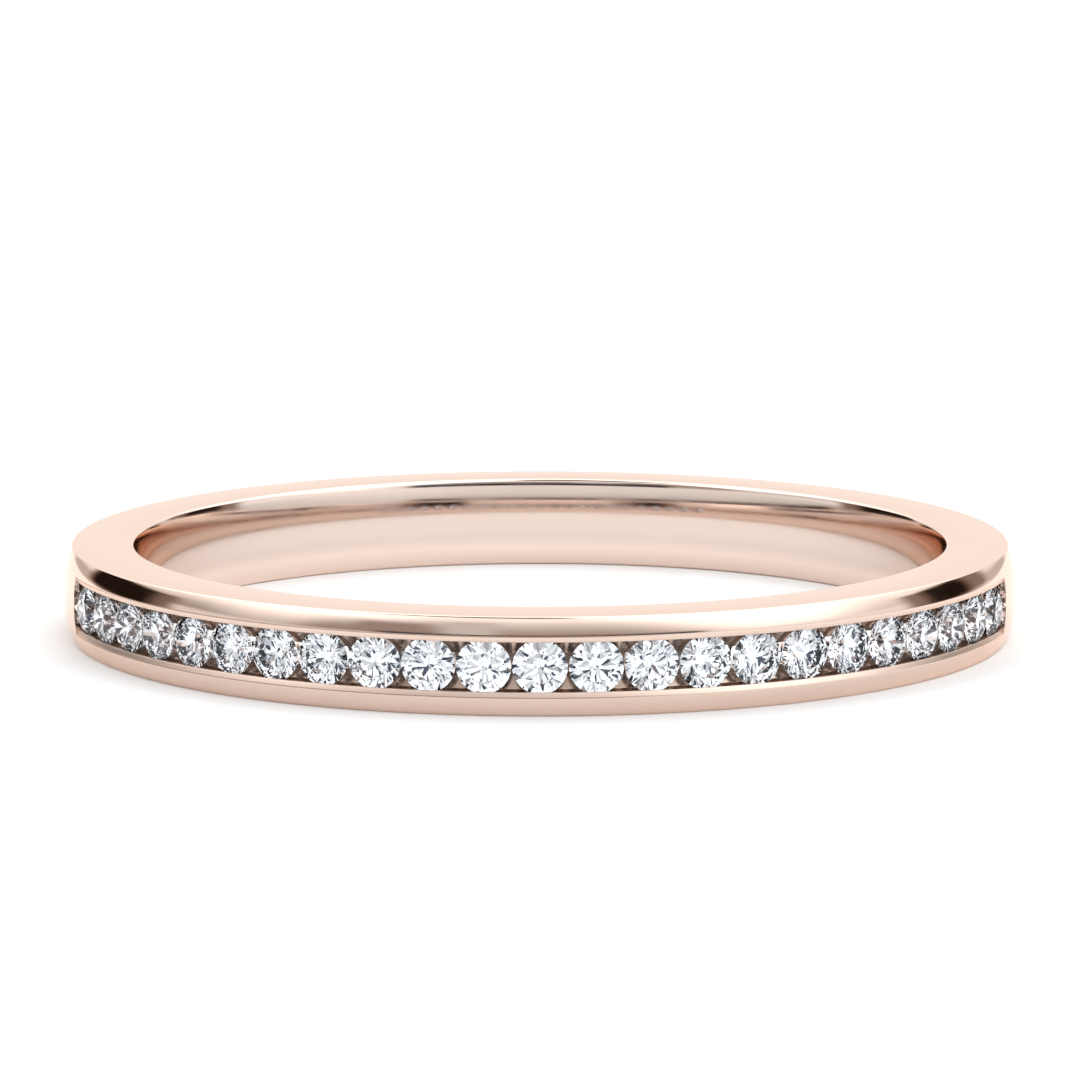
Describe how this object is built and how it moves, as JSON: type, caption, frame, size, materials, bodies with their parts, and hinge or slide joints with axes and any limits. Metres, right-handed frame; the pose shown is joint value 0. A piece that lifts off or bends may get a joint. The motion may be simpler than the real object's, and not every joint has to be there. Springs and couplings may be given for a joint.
{
  "type": "wedding band",
  "caption": "Slim rose gold band with a court profile and a row of round brilliant stones channel-set flush between two rails around its front half.",
  "frame": {"origin": "on the ring's axis, in the plane of its lower side face", "axes": "+Z along the ring's axis, upwards with the ring lying flat; the row of stones faces -Y; +X to the right seen from the stones' side"},
  "size_m": [0.0206, 0.0206, 0.002],
  "materials": {
    "rose_gold": "high polish, pale rose gold",
    "diamond": "polished, faceted, colourless"
  },
  "bodies": {
    "root": {"band": "rose_gold", "diamond_01": "diamond", "diamond_02": "diamond", "diamond_03": "diamond", "diamond_04": "diamond", "diamond_05": "diamond", "diamond_06": "diamond", "diamond_07": "diamond", "diamond_08": "diamond", "diamond_09": "diamond", "diamond_10": "diamond", "diamond_11": "diamond", "diamond_12": "diamond", "diamond_13": "diamond", "diamond_14": "diamond", "diamond_15": "diamond", "diamond_16": "diamond", "diamond_17": "diamond", "diamond_18": "diamond", "diamond_19": "diamond", "diamond_20": "diamond", "diamond_21": "diamond", "diamond_22": "diamond", "diamond_23": "diamond"}
  },
  "joints": []
}
